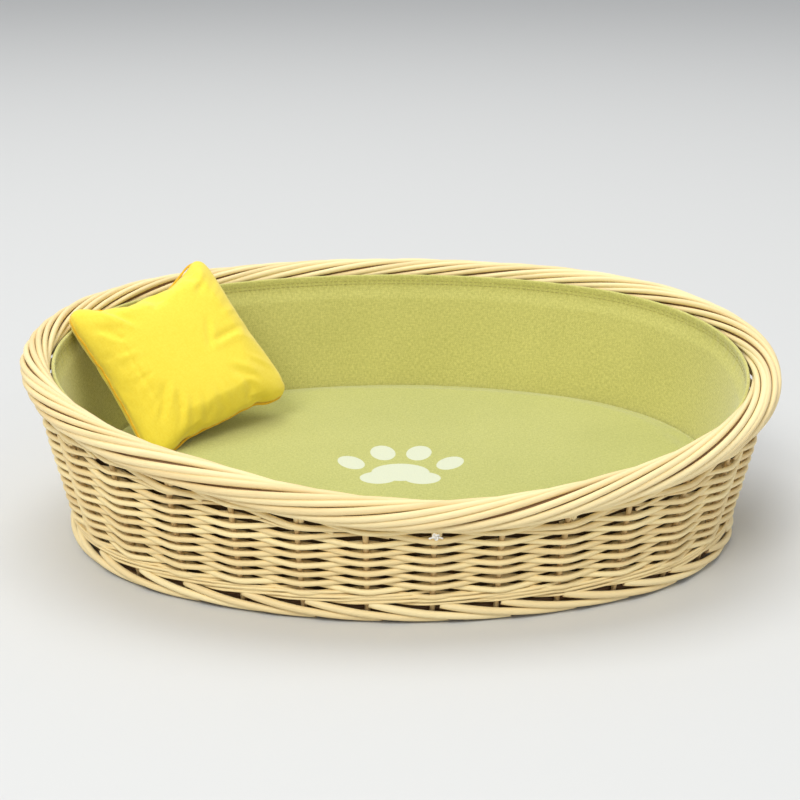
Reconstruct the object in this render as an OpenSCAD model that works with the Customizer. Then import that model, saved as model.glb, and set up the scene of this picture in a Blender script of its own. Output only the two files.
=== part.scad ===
// Wicker pet bed basket: an oval willow basket with a low front, a padded liner,
// a flat oval cushion and a loose square pillow.
// Z is up, -Y is the low front, and the origin is the middle of the floor under the basket.

/* [Basket] */
// Half length of the wall line at the floor
floor_half_l = 302; // [240:1:370]
// Half width of the wall line at the floor
floor_half_w = 228; // [190:1:290]
// Radius of the rounded ends of the oval
end_r = 205; // [150:1:225]
// How far the wall leans out for each millimetre of height
lean = 0.218; // [0.1:0.002:0.3]
// Height of the border's centre line at the back
back_h = 173; // [140:1:220]
// Depth that the border drops by at the front
front_dip = 73; // [30:1:90]
// How sharply the front drops: larger is a narrower dip
dip_power = 2.4; // [1.5:0.1:4]
// Angle that the dip is turned by, towards the right
dip_turn = 9; // [-20:1:20]

/* [Stakes and weave] */
// Number of upright stakes, an even number
stake_count = 32; // [24:2:40]
// Place of the first stake past the right end, in stake spacings
stake_start = 0.5; // [0:0.1:1]
// Diameter of an upright stake
stake_d = 4.8; // [3.6:0.1:6]
// Diameter of a weaving rod
weaver_d = 4.3; // [3:0.1:5]
// Number of rows that follow the border
border_rows = 2; // [1:1:6]
// Least gap between neighbouring weaving rods
row_gap = 0.15; // [0.1:0.05:0.6]
// Gap between a weaving rod and the stake it passes
weave_gap = 0.8; // [0.4:0.1:1.5]

/* [Foot and upsett] */
// Diameter of a foot border rod
foot_rod_d = 6; // [4:0.1:8]
// Height of the foot ring
foot_h = 13; // [12.5:0.5:18]
// Diameter of an upsett rod
upsett_d = 3; // [2:0.1:4]
// Number of upsett rods
upsett_count = 3; // [2:1:4]
// Gap between the foot ring and the stakes and rods above it
foot_gap = 1; // [0.6:0.1:2]

/* [Base] */
// Diameter of a base stick
base_stick_d = 8; // [6:0.5:8]
// Number of base sticks across the width
cross_sticks = 9; // [5:2:13]
// Number of base sticks along the length
long_sticks = 3; // [3:2:5]
// Diameter of the thin sticks that run along the length
long_stick_d = 5; // [3:0.5:5.5]
// Diameter of a base weaving rod
base_weaver_d = 4.5; // [3:0.5:6]
// Width of one course of the base weaving, two rods laid side by side
base_pitch = 9; // [6:1:20]

/* [Border] */
// Diameter of the rolled border
border_d = 27; // [20:0.5:34]
// Gap between the border and the last row
border_gap = 0.4; // [0.2:0.1:1]

/* [Liner] */
// Thickness of the padded liner wall
liner_t = 9; // [5:0.5:14]
// Gap between the liner and the weave
liner_gap = 1; // [0.5:0.1:3]
// Height of the liner's top edge above the border's centre line
liner_rise = 2; // [0:0.5:6]
// Diameter of a liner tie's knot
knot_d = 6; // [4:0.5:9]
// Number of liner ties
tie_count = 4; // [2:1:8]

/* [Cushion] */
// Height of the cushion
cushion_h = 43; // [25:1:60]
// Gap between the cushion and the liner
cushion_gap = 3; // [1:0.5:8]
// Thickness of the cushion and pillow covers
cover_t = 1.5; // [1:0.1:3]
// Gap between a cover and its filling
filling_gap = 0.3; // [0.2:0.1:1]

/* [Pillow] */
// Length of the pillow's side, from corner to corner
pillow_w = 157; // [120:1:190]
// Thickness of the pillow at its middle
pillow_t = 56; // [40:1:70]
// How far each side of the pillow pulls in
pillow_pull = 10; // [0:1:20]
// Thickness of the pillow along its seam
pillow_edge = 6; // [5:0.5:10]
// Tilt of the pillow from lying flat
pillow_tilt = 50; // [30:1:60]
// Direction that the pillow faces, from +X
pillow_turn = -54; // [-70:1:-40]
// Turn of the pillow about its own middle
pillow_spin = 13; // [0:1:25]
// Distance that the pillow lies in from where it would touch the liner
pillow_in = 1; // [0.5:0.5:60]
// Distance of the pillow's middle behind the basket's middle
pillow_back = 66; // [40:1:90]

/* [Hidden] */
stake_r = stake_d / 2;
weaver_r = weaver_d / 2;
upsett_r = upsett_d / 2;
border_r = border_d / 2;
base_weaver_r = base_weaver_d / 2;
base_stick_r = base_stick_d / 2;
touch_gap = 0.05;
rest_gap = 0.3;

// The oval: four arcs that meet smoothly, two of end_r and two of side_r.
side_r = (pow(floor_half_l - end_r, 2) + pow(floor_half_w, 2) - pow(end_r, 2))
    / (2 * (floor_half_w - end_r));
end_x = floor_half_l - end_r;
side_y = side_r - floor_half_w;
end_turn = atan2(side_y, end_x);
end_len = end_r * end_turn * PI / 180;
quarter_len = end_len + side_r * (90 - end_turn) * PI / 180;

// Direction of the outward normal at a share of the way round, counter-clockwise from the
// first stake
function quarter_turn(share) =
    let (run = share * quarter_len)
    run < end_len ? run / end_r * 180 / PI
    : end_turn + (run - end_len) / side_r * 180 / PI;
function oval_turn(share) =
    let (past = share + stake_start / stake_count, place = 4 * (past - floor(past)),
         quarter = floor(place), part = place - quarter)
    quarter % 2 == 0 ? 90 * quarter + quarter_turn(part)
    : 90 * (quarter + 1) - quarter_turn(1 - part);
// Point of the oval whose normal has this direction, moved out by a distance
function oval_at(turn, out = 0) =
    abs(cos(turn)) > cos(end_turn)
    ? [sign(cos(turn)) * end_x + (end_r + out) * cos(turn), (end_r + out) * sin(turn)]
    : [(side_r + out) * cos(turn), (side_r + out) * sin(turn) - sign(sin(turn)) * side_y];
function oval(share, out = 0) = oval_at(oval_turn(share), out);

// Height of the border's centre line, by the angle from its highest place and over a point
function border_at(from_back) = back_h - front_dip * pow((1 - cos(from_back)) / 2, dip_power);
function border_over(p) = border_at(atan2(p.y, p.x) - dip_turn - 90);
function border_z(share) = border_over(oval(share));

// Point of the wall at a height, moved out by a distance from the stakes' middle
function wall(share, z, out = 0) = let (p = oval(share, z * lean + out)) [p.x, p.y, z];

// The middle of the whole object, which the back's extra lean moves off the oval's middle
border_share = [for (i = [0:3 * stake_count - 1]) i / (3 * stake_count)];
border_xy = [for (s = border_share) wall(s, border_z(s), border_r)];
mid_x = (max([for (p = border_xy) p.x]) + min([for (p = border_xy) p.x])) / 2;
mid_y = (max([for (p = border_xy) p.y]) + min([for (p = border_xy) p.y])) / 2;
module centred() { translate([-mid_x, -mid_y, 0]) children(); }

// Heights of the weave, from the floor up. The front holds a whole number of rows, and
// the last few of them follow the border while the rest follow the floor. Short rows fill
// the back, and the last of them runs for packing_reach to each side of the highest place.
upsett_z = foot_h + foot_gap;
upsett_pitch = upsett_d + row_gap;
weave_z = upsett_z + upsett_count * upsett_pitch;
front_room = back_h - front_dip - border_r - border_gap - weave_z;
front_rows = floor(front_room / (weaver_d + row_gap));
row_pitch = front_room / front_rows;
lower_rows = front_rows - border_rows;
packing_z = weave_z + lower_rows * row_pitch;
function packing_top(share) = border_z(share) - border_r - border_gap - border_rows * row_pitch;
packing_reach = 45;
packing_room = border_at(packing_reach) - border_r - border_gap - border_rows * row_pitch - packing_z;
packing_rows = floor(packing_room / row_pitch);
packing_pitch = packing_room / packing_rows;
weave_steps = 2 * stake_count;
weave_swing = stake_r + weaver_r + weave_gap;

// A rod carried along points, with a diamond section; frames are [point, outward direction]
module diamond_rod(frames, r, closed = true) {
    n = len(frames);
    ring = [for (f = frames)
        let (p = f[0], d = f[1])
        each [[p.x + r * d.x, p.y + r * d.y, p.z], [p.x, p.y, p.z + r],
              [p.x - r * d.x, p.y - r * d.y, p.z], [p.x, p.y, p.z - r]]];
    last = closed ? n - 1 : n - 2;
    sides = [for (i = [0:last]) let (a = 4 * i, b = 4 * ((i + 1) % n))
        for (k = [0:3]) let (m = (k + 1) % 4)
        each [[a + k, a + m, b + m], [a + k, b + m, b + k]]];
    ends = closed ? [] : [[3, 2, 1, 0], [4 * n - 4, 4 * n - 3, 4 * n - 2, 4 * n - 1]];
    polyhedron(ring, concat(sides, ends), convexity = 6);
}

// A frame of a woven rod at a half-stake step: odd steps lie between two stakes
function woven_frame(step, z, side) =
    let (share = step / weave_steps, turn = oval_turn(share),
         swing = step % 2 == 1 ? 0 : step % 4 == 0 ? side * weave_swing : -side * weave_swing)
    [wall(share, z, swing), [cos(turn), sin(turn)]];
function row_side(k) = k % 2 == 0 ? 1 : -1;

// A row that follows the floor
module lower_row(k) {
    z = weave_z + (k + 0.5) * row_pitch;
    color("wheat") centred()
        diamond_rod([for (i = [0:weave_steps - 1]) woven_frame(i, z, row_side(k))], weaver_r);
}

// A row that follows the border
module upper_row(k) {
    drop = border_r + border_gap + (border_rows - k - 0.5) * row_pitch;
    color("wheat") centred()
        diamond_rod([for (i = [0:weave_steps - 1])
            woven_frame(i, border_z(i / weave_steps) - drop, row_side(lower_rows + k))], weaver_r);
}

// A short row that fills the taller back, between the two sets
module packing_row(k) {
    front_step = floor(3 * weave_steps / 4 + dip_turn / 360 * weave_steps);
    need = packing_z + (k + 1) * packing_pitch + row_gap;
    steps = [for (i = [0:weave_steps - 1]) let (step = front_step + i)
        if (packing_top(step / weave_steps) >= need) step];
    z = packing_z + (k + 0.5) * packing_pitch;
    color("wheat") centred()
        diamond_rod([for (i = steps) woven_frame(i, z, row_side(lower_rows + k))], weaver_r, false);
}

// Uprights: from the foot ring up to the border
module side_stakes() {
    lean_angle = atan(lean);
    foot_z = foot_h + foot_gap;
    color("burlywood") centred()
        for (i = [0:stake_count - 1]) {
            share = i / stake_count;
            rise = border_z(share) - border_r - foot_gap - foot_z;
            translate(wall(share, foot_z)) rotate([0, lean_angle, oval_turn(share)])
                cylinder(h = rise / cos(lean_angle), r = stake_r, $fn = 24);
        }
}

// A flat shape that follows the oval, moved out by a distance
module oval_2d(out) { polygon([for (i = [0:weave_steps - 1]) oval(i / weave_steps, out)]); }

// The ring that the basket stands on
module foot_border() {
    color("wheat") centred() linear_extrude(foot_h) difference() {
        oval_2d(foot_rod_d);
        oval_2d(-foot_rod_d);
    }
}

// Thin rods in long sweeps: in front of two stakes and behind one
module upsett_rod(k) {
    z = upsett_z + (k + 0.5) * upsett_pitch;
    swing = stake_r + upsett_r + weave_gap;
    whole = weave_steps - weave_steps % 6;
    function sweep(i) = let (phase = (i + 2 * k) % 6)
        i >= whole ? 1 : phase == 4 ? -1 : phase == 3 || phase == 5 ? 0 : 1;
    color("wheat") centred()
        diamond_rod([for (i = [0:weave_steps - 1])
            let (share = i / weave_steps, turn = oval_turn(share))
            [wall(share, z, sweep(i) * swing), [cos(turn), sin(turn)]]], upsett_r);
}

// Base: thick sticks across, with thin sticks run through them along the length
base_z = foot_h - base_stick_r;
base_reach = -foot_rod_d - foot_gap;
long_pitch = 3 * base_stick_d;
// Half width of the floor oval at a distance from its middle
function half_width(x) =
    x < end_x ? sqrt(pow(side_r, 2) - x * x) - side_y : sqrt(pow(end_r, 2) - pow(x - end_x, 2));
module long_stick_set(r) {
    for (j = [0:long_sticks - 1]) {
        y = (j - (long_sticks - 1) / 2) * long_pitch;
        half = end_x + sqrt(pow(end_r + base_reach, 2) - y * y) - foot_gap;
        translate([-half, y, base_z]) rotate([0, 90, 0]) cylinder(h = 2 * half, r = r, $fn = 32);
    }
}
module base_cross_sticks() {
    pitch = 2 * (end_x + end_r / 3) / (cross_sticks - 1);
    color("burlywood") centred() difference() {
        for (i = [0:cross_sticks - 1]) {
            x = (i - (cross_sticks - 1) / 2) * pitch;
            half = half_width(abs(x)) + 2 * base_reach;
            translate([x, half, base_z]) rotate([90, 0, 0])
                cylinder(h = 2 * half, r = base_stick_r, $fn = 32);
        }
        long_stick_set(long_stick_d / 2 + touch_gap);
    }
}
module base_long_sticks() { color("burlywood") centred() long_stick_set(long_stick_d / 2); }

// Base weaving: a close mat over the sticks, with a ridge for each course of rods.
// Its levels are [distance out from the wall line, height], from the underside to the middle.
weave_top = foot_h + touch_gap + base_weaver_d;
module base_weave() {
    mat_out = base_reach - base_weaver_r;
    courses = floor((end_r + mat_out - base_weaver_d) / base_pitch);
    groove_z = weave_top - base_weaver_r;
    levels = [[mat_out, weave_top - base_weaver_d],
        for (k = [0:courses - 1]) each [[mat_out - k * base_pitch, groove_z],
                                        [mat_out - (k + 0.5) * base_pitch, weave_top]],
        [mat_out - courses * base_pitch, groove_z]];
    n = stake_count;
    m = len(levels);
    points = [for (q = levels) for (i = [0:n - 1]) let (p = oval(i / n, q[0])) [p.x, p.y, q[1]]];
    sides = [for (j = [0:m - 2]) for (i = [0:n - 1])
        let (a = j * n + i, b = j * n + (i + 1) % n) each [[a, a + n, b + n], [a, b + n, b]]];
    underside = [for (i = [0:n - 1]) i];
    middle = [for (i = [n - 1:-1:0]) (m - 1) * n + i];
    color("wheat") centred() polyhedron(points, concat(sides, [underside, middle]), convexity = 6);
}

// A closed tube round the basket from one section for each place: [out, z] points, anticlockwise
module ring_of(sections) {
    n = len(sections);
    m = len(sections[0]);
    points = [for (i = [0:n - 1]) for (q = sections[i]) let (p = oval(i / n, q[0])) [p.x, p.y, q[1]]];
    faces = [for (i = [0:n - 1]) let (a = m * i, b = m * ((i + 1) % n))
        for (k = [0:m - 1]) let (j = (k + 1) % m) each [[a + k, b + j, a + j], [a + k, b + k, b + j]]];
    polyhedron(points, faces, convexity = 6);
}

// The rolled border of bent-down stake ends
module rolled_border() {
    sides = 10;
    color("bisque") centred() ring_of([for (s = border_share) let (z = border_z(s))
        [for (k = [0:sides - 1]) let (a = -360 * k / sides)
            [z * lean + border_r * cos(a), z + border_r * sin(a)]]]);
}

// The padded liner leans with the weave, then steps in past the border.
// Its levels are [height, distance of its middle from the wall line, half thickness].
liner_half = liner_t / 2;
liner_mid = -weave_swing - weaver_r - liner_gap - liner_half;
liner_top_mid = -border_r - liner_gap - liner_half;
function levels_under(z) = let (low = weave_top + touch_gap)
    [[low, low * lean + liner_mid, liner_half],
     [z - border_r - liner_t, (z - border_r - liner_t) * lean + liner_mid, liner_half],
     [z - border_r / 2, z * lean + liner_top_mid, liner_half],
     [z + liner_rise, z * lean + liner_top_mid, liner_half - liner_rise / 2]];
function liner_section(share, inset) =
    let (levels = levels_under(border_z(share)), last = len(levels) - 1)
    let (z = [for (i = [0:last]) levels[i][0] + (i == 0 ? inset : i == last ? -inset : 0)])
    concat([for (i = [0:last]) [levels[i][1] - levels[i][2] + inset, z[i]]],
           [for (i = [last:-1:0]) [levels[i][1] + levels[i][2] - inset, z[i]]]);
module liner_shape(inset) {
    ring_of([for (i = [0:weave_steps - 1]) liner_section(i / weave_steps, inset)]);
}
module liner_wall() {
    color("darkkhaki") centred() difference() {
        liner_shape(0);
        liner_shape(cover_t);
    }
}
module liner_wadding() { color("white") centred() liner_shape(cover_t + filling_gap); }

// Knots of the ties that hold the liner, tucked under the outside of the border
module liner_ties() {
    knot_r = knot_d / 2;
    out = weave_swing + weaver_r + knot_r + liner_gap;
    drop = sqrt(pow(border_r + knot_r + border_gap, 2) - out * out);
    color("ivory") centred()
        for (i = [0:tie_count - 1]) {
            share = i / tie_count;
            z = border_z(share) - max(drop, knot_r);
            translate(wall(share, z, out + drop * lean)) sphere(r = knot_r, $fn = 32);
        }
}

// The cushion: a flat oval pad in a fabric cover
cushion_z = weave_top + rest_gap;
cushion_out = cushion_z * lean + liner_mid - liner_half - cushion_gap;
module oval_pad(inset) {
    translate([0, 0, cushion_z + inset]) linear_extrude(cushion_h - 2 * inset)
        oval_2d(cushion_out - inset);
}
module cushion_cover() {
    color("yellowgreen") centred() difference() { oval_pad(0); oval_pad(cover_t); }
}
module cushion_filling() { color("white") centred() oval_pad(cover_t + filling_gap); }

// The pillow: square, with drawn-in sides, fullest in the middle
pillow_cells = 12;
function pillow_point(i, j, side, inset) =
    let (u = 2 * i / pillow_cells - 1, v = 2 * j / pillow_cells - 1, half = pillow_w / 2 - inset,
         full = pow((1 - u * u) * (1 - v * v), 0.5),
         rim = pillow_edge / 2 - inset, rise = (pillow_t - pillow_edge) / 2 * full)
    [u * (half - pillow_pull * (1 - v * v)), v * (half - pillow_pull * (1 - u * u)), side * (rim + rise)];
module pillow_shape(inset) {
    n = pillow_cells + 1;
    points = [for (side = [1, -1]) for (i = [0:n - 1]) for (j = [0:n - 1])
        pillow_point(i, j, side, inset)];
    function id(side, i, j) = side * n * n + i * n + j;
    skin = [for (i = [0:n - 2]) for (j = [0:n - 2])
        each [[id(0, i, j), id(0, i, j + 1), id(0, i + 1, j + 1)],
              [id(0, i, j), id(0, i + 1, j + 1), id(0, i + 1, j)],
              [id(1, i, j), id(1, i + 1, j + 1), id(1, i, j + 1)],
              [id(1, i, j), id(1, i + 1, j), id(1, i + 1, j + 1)]]];
    round_edge = [for (k = [0:n - 2]) [k, 0], for (k = [0:n - 2]) [n - 1, k],
        for (k = [n - 1:-1:1]) [k, n - 1], for (k = [n - 1:-1:1]) [0, k]];
    edge = [for (k = [0:len(round_edge) - 1])
        let (a = round_edge[k], b = round_edge[(k + 1) % len(round_edge)])
        each [[id(0, a[0], a[1]), id(0, b[0], b[1]), id(1, b[0], b[1])],
              [id(0, a[0], a[1]), id(1, b[0], b[1]), id(1, a[0], a[1])]]];
    polyhedron(points, concat(skin, edge), convexity = 4);
}
// The middle's height puts the lowest corner just clear of the cushion
corner_reach = pillow_w / sqrt(2);
corner_drop = corner_reach * sin(pillow_tilt) * cos(45 - pillow_spin);
pillow_z = cushion_z + cushion_h + corner_drop + pillow_edge / 2;
// The pillow's skin about its middle, turned as it lies, in half cells
function spun(p, a) = [p.x * cos(a) - p.y * sin(a), p.x * sin(a) + p.y * cos(a), p.z];
function tilted(p, a) = [p.x * cos(a) + p.z * sin(a), p.y, p.z * cos(a) - p.x * sin(a)];
function lying(p) = spun(tilted(spun(p, pillow_spin), pillow_tilt), pillow_turn);
pillow_skin = [for (side = [1, -1]) for (i = [0:0.5:pillow_cells]) for (j = [0:0.5:pillow_cells])
    lying(pillow_point(i, j, side, 0))];
// Distance of a point out from the floor oval, and the room left to the liner or the border there
function out_of(p) = let (x = abs(p.x) - end_x, y = abs(p.y))
    atan2(y, x) < end_turn ? norm([x, y]) - end_r : norm([p.x, y + side_y]) - side_r;
function room_at(p) = let (z = border_over(p), face = [for (q = levels_under(z)) [q[0], q[1] - q[2]]])
    lookup(p.z, concat(face, [[z + liner_rise + touch_gap, z * lean - border_r]])) - out_of(p);
// The place along X where the pillow would touch, found by halving the way to it
function pillow_fits(x) =
    min([for (p = pillow_skin) room_at(p + [x, pillow_back, pillow_z])]) > rest_gap;
function touching(free, blocked, halvings) = let (x = (free + blocked) / 2)
    halvings == 0 ? free
    : pillow_fits(x) ? touching(x, blocked, halvings - 1) : touching(free, x, halvings - 1);
touch_halvings = 12;
pillow_x = touching(0, -floor_half_l, touch_halvings) + pillow_in;
module placed_pillow(inset) {
    centred() translate([pillow_x, pillow_back, pillow_z])
        rotate([0, 0, pillow_turn]) rotate([0, pillow_tilt, 0]) rotate([0, 0, pillow_spin])
            pillow_shape(inset);
}
module pillow_cover() {
    color("gold") difference() { placed_pillow(0); placed_pillow(cover_t); }
}
module pillow_filling() { color("white") placed_pillow(cover_t + filling_gap); }

base_cross_sticks();
base_long_sticks();
base_weave();
foot_border();
side_stakes();
for (k = [1:upsett_count]) upsett_rod(k - 1);
for (k = [1:lower_rows]) lower_row(k - 1);
for (k = [1:packing_rows]) packing_row(k - 1);
for (k = [1:border_rows]) upper_row(k - 1);
rolled_border();
liner_wall();
liner_wadding();
liner_ties();
cushion_cover();
cushion_filling();
pillow_cover();
pillow_filling();
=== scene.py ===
# %% [markdown]
# # A willow bed basket for a pet
# The basket is an oval willow basket with a low front. It holds a padded liner, a flat oval cushion and a
# small square pillow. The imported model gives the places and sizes, and this file gives every piece its real
# surface.

# %% Load the frame
import math
import bpy
import numpy as np
from mathutils import Euler, Matrix, Vector


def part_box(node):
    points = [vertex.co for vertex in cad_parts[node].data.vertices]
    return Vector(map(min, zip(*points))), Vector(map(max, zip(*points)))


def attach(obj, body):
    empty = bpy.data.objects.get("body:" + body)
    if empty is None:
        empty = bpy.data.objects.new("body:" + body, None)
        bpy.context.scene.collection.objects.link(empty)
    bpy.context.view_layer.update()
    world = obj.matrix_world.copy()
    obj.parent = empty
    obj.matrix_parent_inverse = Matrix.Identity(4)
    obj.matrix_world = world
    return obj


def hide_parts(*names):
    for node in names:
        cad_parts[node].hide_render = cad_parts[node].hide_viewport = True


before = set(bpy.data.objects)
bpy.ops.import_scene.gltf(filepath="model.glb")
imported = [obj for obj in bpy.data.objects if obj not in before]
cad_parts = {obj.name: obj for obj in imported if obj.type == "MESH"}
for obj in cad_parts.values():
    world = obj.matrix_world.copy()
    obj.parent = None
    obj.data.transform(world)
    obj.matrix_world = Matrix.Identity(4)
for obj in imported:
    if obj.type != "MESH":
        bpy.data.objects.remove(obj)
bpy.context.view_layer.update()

TAU = 2 * math.pi
rng = np.random.default_rng(7)
scene = bpy.context.scene

# %% [markdown]
# ## The oval
# The basket's plan is four arcs that meet smoothly: two tight ones at the ends and two slack ones at the
# sides. The foot ring gives its middle and its size. Everything round the basket is placed by a share of
# the way round, from 0 to 1, counter-clockwise from the first stake, and by how far it lies out from the
# wall line.

# %% Sizes of the basket
foot_low, foot_high = (np.array(corner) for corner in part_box("foot_border"))
FOOT_ROD_D = 0.006
MIDDLE = (foot_low + foot_high)[:2] / 2
HALF_L = (foot_high - foot_low)[0] / 2 - FOOT_ROD_D
HALF_W = (foot_high - foot_low)[1] / 2 - FOOT_ROD_D
END_R = 0.205
LEAN = 0.218
BACK_H = 0.173
FRONT_DIP = 0.073
DIP_POWER = 2.4
DIP_TURN = math.radians(9)
STAKES = 32
FIRST_STAKE = 0.5 / STAKES
STAKE_R = 0.0024
WEAVER_R = 0.00255
BORDER_R = 0.0135

SIDE_R = ((HALF_L - END_R) ** 2 + HALF_W**2 - END_R**2) / (2 * (HALF_W - END_R))
END_X = HALF_L - END_R
SIDE_Y = SIDE_R - HALF_W
END_TURN = math.atan2(SIDE_Y, END_X)
END_LEN = END_R * END_TURN
QUARTER_LEN = END_LEN + SIDE_R * (math.pi / 2 - END_TURN)
print("half length", HALF_L, "half width", HALF_W, "round the floor", 4 * QUARTER_LEN)


# %% The oval as a function
def quarter_turn(part):
    """Direction of the outward normal at a share of one quarter: arc length over radius, arc by arc."""
    run = part * QUARTER_LEN
    return np.where(run < END_LEN, run / END_R, END_TURN + (run - END_LEN) / SIDE_R)


def oval_turn(share):
    """Direction of the outward normal at a share of the way round from the first stake, which stands half a
    spacing past the right end; each quarter mirrors the one before."""
    past = share + FIRST_STAKE
    place = 4 * (past - np.floor(past))
    quarter = np.floor(place)
    part = place - quarter
    forward = quarter * math.pi / 2 + quarter_turn(part)
    backward = (quarter + 1) * math.pi / 2 - quarter_turn(1 - part)
    return np.where(quarter % 2 == 0, forward, backward)


def oval(share, out):
    """Point of the oval at a share, moved out: the arc's centre plus (radius + out) times the normal."""
    turn = oval_turn(share)
    c, s = np.cos(turn), np.sin(turn)
    at_end = np.abs(c) > math.cos(END_TURN)
    x = np.where(at_end, np.sign(c) * END_X + (END_R + out) * c, (SIDE_R + out) * c)
    y = np.where(at_end, (END_R + out) * s, (SIDE_R + out) * s - np.sign(s) * SIDE_Y)
    return x + MIDDLE[0], y + MIDDLE[1]


def outward(share):
    """Unit vector that points out of the basket, level with the floor."""
    turn = oval_turn(share)
    return np.stack([np.cos(turn), np.sin(turn), np.zeros_like(turn)], -1)


def border_z(share):
    """Height of the border's centre: the back's height less a dip that grows as a power towards the front."""
    x, y = oval(share, 0.0)
    around = np.arctan2(y - MIDDLE[1], x - MIDDLE[0]) - DIP_TURN
    return BACK_H - FRONT_DIP * ((1 - np.sin(around)) / 2) ** DIP_POWER


def wall(share, z, out=0.0):
    """Point of the leaning wall: the oval moved out by the lean times the height, plus out."""
    share, z, out = np.broadcast_arrays(share, z, out)
    x, y = oval(share, z * LEAN + out)
    return np.stack([x, y, z], -1)


# %% [markdown]
# ## Surfaces from arrays
# Two shapes make nearly everything here. A rod is a round section carried along a path, and a cloth or pad
# is a grid of points over two parameters. Both are worked out as whole arrays and handed to the mesh at
# once, which is quicker and tidier than moving vertices one by one. Each rod also carries its own tone, so
# that one material can give every rod a slightly different colour.

# %% Meshes from whole arrays
def mesh_piece(name, points, quads, caps=None, uv=None, tone=None):
    """An object from vertices, four-sided faces and optional end faces; uv is in metres, one pair a corner."""
    mesh = bpy.data.meshes.new(name)
    caps = np.zeros((0, 3), int) if caps is None else caps
    loops = np.concatenate([quads.ravel(), caps.ravel()]).astype(np.int32)
    sizes = np.concatenate([np.full(len(quads), 4), np.full(len(caps), caps.shape[1])])
    starts = np.concatenate([[0], np.cumsum(sizes)[:-1]]).astype(np.int32)
    mesh.vertices.add(len(points))
    mesh.vertices.foreach_set("co", np.ascontiguousarray(points, np.float32).ravel())
    mesh.loops.add(len(loops))
    mesh.loops.foreach_set("vertex_index", loops)
    mesh.polygons.add(len(sizes))
    mesh.polygons.foreach_set("loop_start", starts)
    mesh.update(calc_edges=True)
    smooth = np.concatenate([np.ones(len(quads), bool), np.zeros(len(caps), bool)])
    mesh.polygons.foreach_set("use_smooth", smooth)
    if len(caps):
        mesh.polygons.foreach_set("material_index", (~smooth).astype(np.int32))
    if uv is not None:
        flat = np.zeros((len(loops), 2), np.float32)
        flat[: len(uv)] = uv
        mesh.uv_layers.new(name="UVMap").data.foreach_set("uv", flat.ravel())
    if tone is not None:
        layer = mesh.attributes.new("rod_tone", "FLOAT", "POINT")
        layer.data.foreach_set("value", np.ascontiguousarray(tone, np.float32))
    piece = bpy.data.objects.new(name, mesh)
    scene.collection.objects.link(piece)
    return piece


def unit(v):
    """Vectors divided by their length."""
    return v / np.maximum(np.linalg.norm(v, axis=-1, keepdims=True), 1e-12)


def rod_piece(name, paths, radii, side_way, sides=8, closed=False, tones=None, slant=0.0):
    """Rods in one mesh. Each ring is path + radius * (cos a * n1 + sin a * n2), where n1 is side_way made
    square to the path and n2 is the path's direction crossed with n1."""
    rods, rings = paths.shape[:2]
    radii = np.broadcast_to(radii, (rods, rings))
    if closed:
        along = np.roll(paths, -1, 1) - np.roll(paths, 1, 1)
    else:
        along = np.gradient(paths, axis=1)
    along = unit(along)
    side_way = np.broadcast_to(side_way, paths.shape)
    n1 = unit(side_way - (side_way * along).sum(-1, keepdims=True) * along)
    n2 = np.cross(along, n1)
    angle = np.arange(sides) * TAU / sides
    ring = np.cos(angle)[:, None] * n1[:, :, None] + np.sin(angle)[:, None] * n2[:, :, None]
    points = paths[:, :, None] + radii[:, :, None, None] * ring
    points[:, -1] += slant * np.sin(angle)[None, :, None] * along[:, -1, None]
    index = np.arange(rods * rings * sides).reshape(rods, rings, sides)
    here = index if closed else index[:, :-1]
    ahead = np.roll(index, -1, 1) if closed else index[:, 1:]
    quads = np.stack([here, np.roll(here, -1, 2), np.roll(ahead, -1, 2), ahead], -1).reshape(-1, 4)
    caps = None if closed else np.concatenate([index[:, 0, ::-1], index[:, -1]])
    step = np.linalg.norm(np.diff(paths, axis=1), axis=-1)
    length = np.concatenate([np.zeros((rods, 1)), np.cumsum(step, 1)], 1)
    if closed:
        last = np.linalg.norm(paths[:, 0] - paths[:, -1], axis=-1)
        length = np.concatenate([length, length[:, -1:] + last[:, None]], 1)
    u0 = np.arange(sides) * TAU / sides * radii.mean()
    u1 = u0 + TAU / sides * radii.mean()
    v0, v1 = length[:, :-1], length[:, 1:]
    u0, u1, v0, v1 = np.broadcast_arrays(u0, u1, v0[:, :, None], v1[:, :, None])
    uv = np.stack([np.stack(pair, -1) for pair in ((u0, v0), (u1, v0), (u1, v1), (u0, v1))], -2)
    tones = rng.random(rods) if tones is None else tones
    tone = np.repeat(tones, rings * sides)
    return mesh_piece(name, points.reshape(-1, 3), quads, caps, uv.reshape(-1, 2), tone)


# %% [markdown]
# ## The camera and the lights
# The basket stands on a plain pale floor in soft studio light: a broad lamp from the upper left, a weaker
# one from the right, and an even pale surround that fills the shadows. The camera looks down on the low
# front by about twenty degrees with a short telephoto lens, so the oval stays true.

# %% Camera, floor and lights
CAMERA_FROM = (0.0085, -1.366, 0.573)
CAMERA_TO = (-0.0022, 0.0092, 0.1101)
CAMERA_LENS = 68.9
CAMERA_ROLL = math.radians(0.17)
shift = np.array([*MIDDLE, 0.0])
camera = bpy.data.objects.new("camera", bpy.data.cameras.new("camera"))
scene.collection.objects.link(camera)
eye = Vector(np.array(CAMERA_FROM) + shift)
look = Vector(np.array(CAMERA_TO) + shift) - eye
camera.location = eye
aim = look.to_track_quat("-Z", "Y").to_matrix()
camera.rotation_euler = (aim @ Matrix.Rotation(CAMERA_ROLL, 3, "Z")).to_euler()
camera.data.lens = CAMERA_LENS
camera.data.clip_end = 50
scene.camera = camera
scene.view_settings.view_transform = "Standard"

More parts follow.
